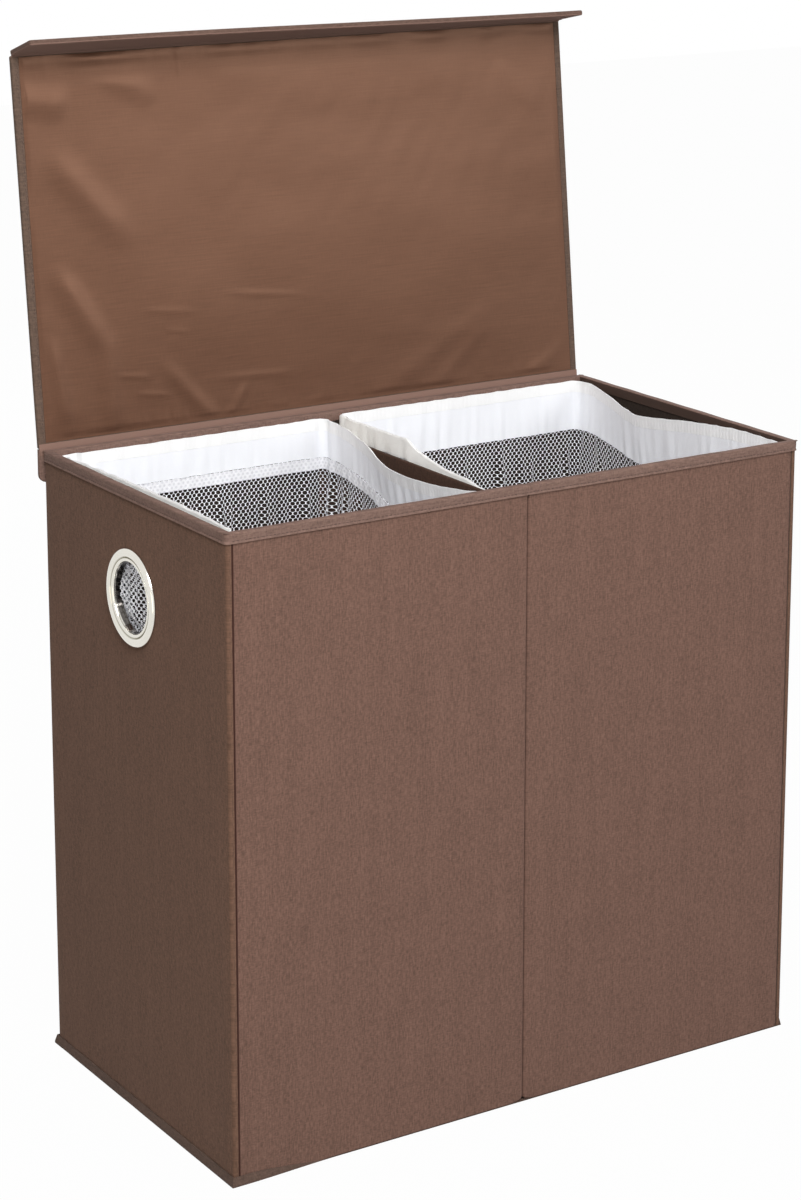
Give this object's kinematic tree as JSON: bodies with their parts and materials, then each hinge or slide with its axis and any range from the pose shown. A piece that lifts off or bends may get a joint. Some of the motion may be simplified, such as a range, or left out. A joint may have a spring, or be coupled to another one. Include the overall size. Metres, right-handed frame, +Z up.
{
  "type": "laundry hamper with two bins",
  "caption": "Cloth-covered folding laundry hamper with a divider, lift-out net bins, ring-lined hand holes and a hinged lid whose front lip folds down over the rim.",
  "frame": {"origin": "on the floor, under the middle of the box, at the base cloth's underside", "axes": "+X to the right along the long front, +Y to the back where the lid is hinged, +Z up"},
  "size_m": [0.6436, 0.407, 1.0034],
  "materials": {
    "outer_cloth": "matt slubbed twill with a fine upright thread",
    "lining_cloth": "matt plain weave, dark",
    "satin_lining": "satin with a soft sheen across the thread",
    "stiff_board": "raw pressed board, hidden inside the cloth",
    "nickel_ring": "polished plating, slightly warm",
    "nylon_band": "thin smooth nylon with a soft sheen",
    "net": "open warp-knitted net with small hexagonal holes",
    "hook_tape": "matt hook tape with a fine grain",
    "loop_tape": "matt brushed loop tape"
  },
  "bodies": {
    "root": {"front_cover_left": "outer_cloth", "front_cover_right": "outer_cloth", "back_cover_left": "outer_cloth", "back_cover_right": "outer_cloth", "side_cover_left": "outer_cloth", "side_cover_right": "outer_cloth", "rim_binding": "outer_cloth", "bottom_binding": "outer_cloth", "divider_cover": "outer_cloth", "flap_cover": "outer_cloth", "front_lining": "lining_cloth", "back_lining": "lining_cloth", "side_lining_left": "lining_cloth", "side_lining_right": "lining_cloth", "base_cloth": "lining_cloth", "front_board_left": "stiff_board", "front_board_right": "stiff_board", "back_board_left": "stiff_board", "back_board_right": "stiff_board", "side_board_left": "stiff_board", "side_board_right": "stiff_board", "base_board_left": "stiff_board", "base_board_right": "stiff_board", "divider_board": "stiff_board", "flap_board": "stiff_board", "hand_ring_left": "nickel_ring", "hand_ring_right": "nickel_ring", "hand_washer_left": "nickel_ring", "hand_washer_right": "nickel_ring", "bin_band_left": "nylon_band", "bin_band_right": "nylon_band", "bin_net_left": "net", "bin_net_right": "net", "bin_tape_left": "hook_tape", "bin_tape_right": "hook_tape", "flap_hook_tape": "hook_tape", "wall_tape_front_left": "loop_tape", "wall_tape_front_right": "loop_tape", "wall_tape_back_left": "loop_tape", "wall_tape_back_right": "loop_tape", "flap_loop_tape": "loop_tape"},
    "lid": {"lid_cover": "outer_cloth", "lid_board": "stiff_board", "lid_lining": "satin_lining"},
    "lip": {"lip_cover": "outer_cloth", "lip_board": "stiff_board"}
  },
  "joints": [
    {"name": "lid_hinge", "type": "hinge", "parent": "root", "child": "lid", "pos_m": [-0.004, 0.1803, 0.6105], "axis": [1, 0, 0], "range_deg": [0, 96.1]},
    {"name": "lip_hinge", "type": "hinge", "parent": "lid", "child": "lip", "pos_m": [-0.004, 0.22035, 0.98527], "axis": [1, 0, 0], "range_deg": [-78.5, 11.5]}
  ]
}
